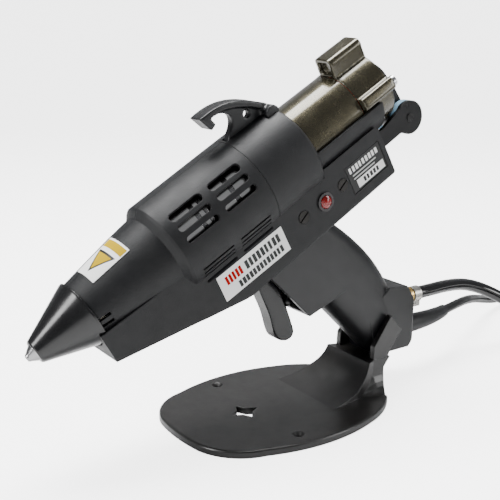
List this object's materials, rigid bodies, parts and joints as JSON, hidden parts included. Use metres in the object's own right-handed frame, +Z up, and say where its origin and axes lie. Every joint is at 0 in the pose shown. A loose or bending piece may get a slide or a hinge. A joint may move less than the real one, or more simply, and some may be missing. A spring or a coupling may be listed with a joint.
{
  "type": "glue gun",
  "caption": "Pneumatic hot-melt glue gun with vented barrel, rear slug chamber, hinged cap, hanging hook, pistol grip and trigger, resting nose-down in a bench stand",
  "frame": {"origin": "on the stand's flat underside, midway between its two bench screw holes, with the bench surface at z=0", "axes": "+Z up off the bench, +X along the tool from nozzle towards the cap and cords, +Y to the tool's far side, across the line of the screw holes"},
  "size_m": [0.6313, 0.2842, 0.262],
  "materials": {
    "housing": "fine moulded texture",
    "grip": "satin moulded",
    "sleeve": "smooth satin",
    "hook": "fine moulded texture",
    "bronze": "metallic flake with clear coat",
    "cone": "satin gloss",
    "aluminium": "turned",
    "insulation": "fibre board",
    "steel": "plain zinc",
    "fuse": "glazed",
    "board": "solder mask",
    "terminal": "moulded",
    "bezel": "bright",
    "lens": "clear red",
    "lamp": "moulded",
    "label_white": "printed film",
    "label_black": "printed film",
    "trigger": "smooth",
    "bolts": "bright",
    "seal": "silicone",
    "black_steel": "black oxide",
    "washer": "plain",
    "stand": "black enamel",
    "brass": "turned",
    "air_pipe": "extruded nylon",
    "relief": "smooth moulded",
    "lead": "smooth",
    "hose": "glossy extruded",
    "tie": "woven strap",
    "plug": "moulded"
  },
  "bodies": {
    "stand": {"stand": "stand"},
    "gun": {"housing_left": "housing", "housing_right": "housing", "handle_left": "grip", "handle_right": "grip", "rear_sleeve": "sleeve", "hanging_hook": "hook", "hook_screw": "steel", "nozzle_cone": "cone", "nozzle": "aluminium", "insulation_ring": "insulation", "melt_chamber": "aluminium", "heater_bands": "steel", "chamber_tube": "bronze", "thermostat": "steel", "thermal_fuse": "fuse", "control_board": "board", "panel_screws": "steel", "lamp_bezel": "bezel", "lamp_lens": "lens", "lamp_body": "lamp", "side_label": "label_white", "rating_plate": "label_black", "hazard_label": "label_white", "terminal_block": "terminal", "trigger_pin": "steel", "hinge_washers": "washer", "hinge_pin": "steel", "hinge_bracket_left": "black_steel", "hinge_bracket_right": "black_steel", "handle_screws": "steel", "valve_body": "brass", "valve_spring": "steel", "air_pipe": "air_pipe", "hose_barb": "brass", "hose_clamp": "steel", "strain_relief": "relief", "mains_lead": "lead", "air_hose": "hose", "mains_lead_coil": "lead", "air_hose_coil": "hose", "coil_ties": "tie", "mains_lead_tail": "lead", "air_hose_tail": "hose", "mains_plug": "plug", "hose_coupling": "brass"},
    "trigger": {"trigger": "trigger"},
    "valve_plunger": {"valve_plunger": "steel"},
    "cap_arm": {"cap_arm": "black_steel", "stud_nut": "steel"},
    "end_cap": {"end_cap": "bronze", "cap_bolts": "bolts", "cap_seal": "seal"}
  },
  "joints": [
    {"name": "gun_lift_off", "type": "slide", "parent": "stand", "child": "gun", "axis": [-0.7071, 0, 0.7071], "range_m": [0, 0.06]},
    {"name": "trigger_pull", "type": "hinge", "parent": "gun", "child": "trigger", "pos_m": [-0.0038, 0, 0.1146], "axis": [0, -1, 0], "range_deg": [0, 8], "stiffness_Nm_per_rad": 2, "springref_deg": -8.59},
    {"name": "valve_press", "type": "slide", "parent": "gun", "child": "valve_plunger", "axis": [0.7071, 0, 0.7071], "range_m": [0, 0.0066], "deforming": ["valve_spring"]},
    {"name": "cap_swing", "type": "hinge", "parent": "gun", "child": "cap_arm", "pos_m": [0.12013, 0, 0.20536], "axis": [0, 1, 0], "range_deg": [0, 165]},
    {"name": "cap_lock", "type": "hinge", "parent": "cap_arm", "child": "end_cap", "pos_m": [0.08316, 0, 0.22016], "axis": [-0.8721, 0, -0.4894], "range_deg": [0, 12]}
  ],
  "couplings": [
    {"joint": "valve_press", "follows": "trigger_pull", "m_per_rad": 0.0465}
  ]
}
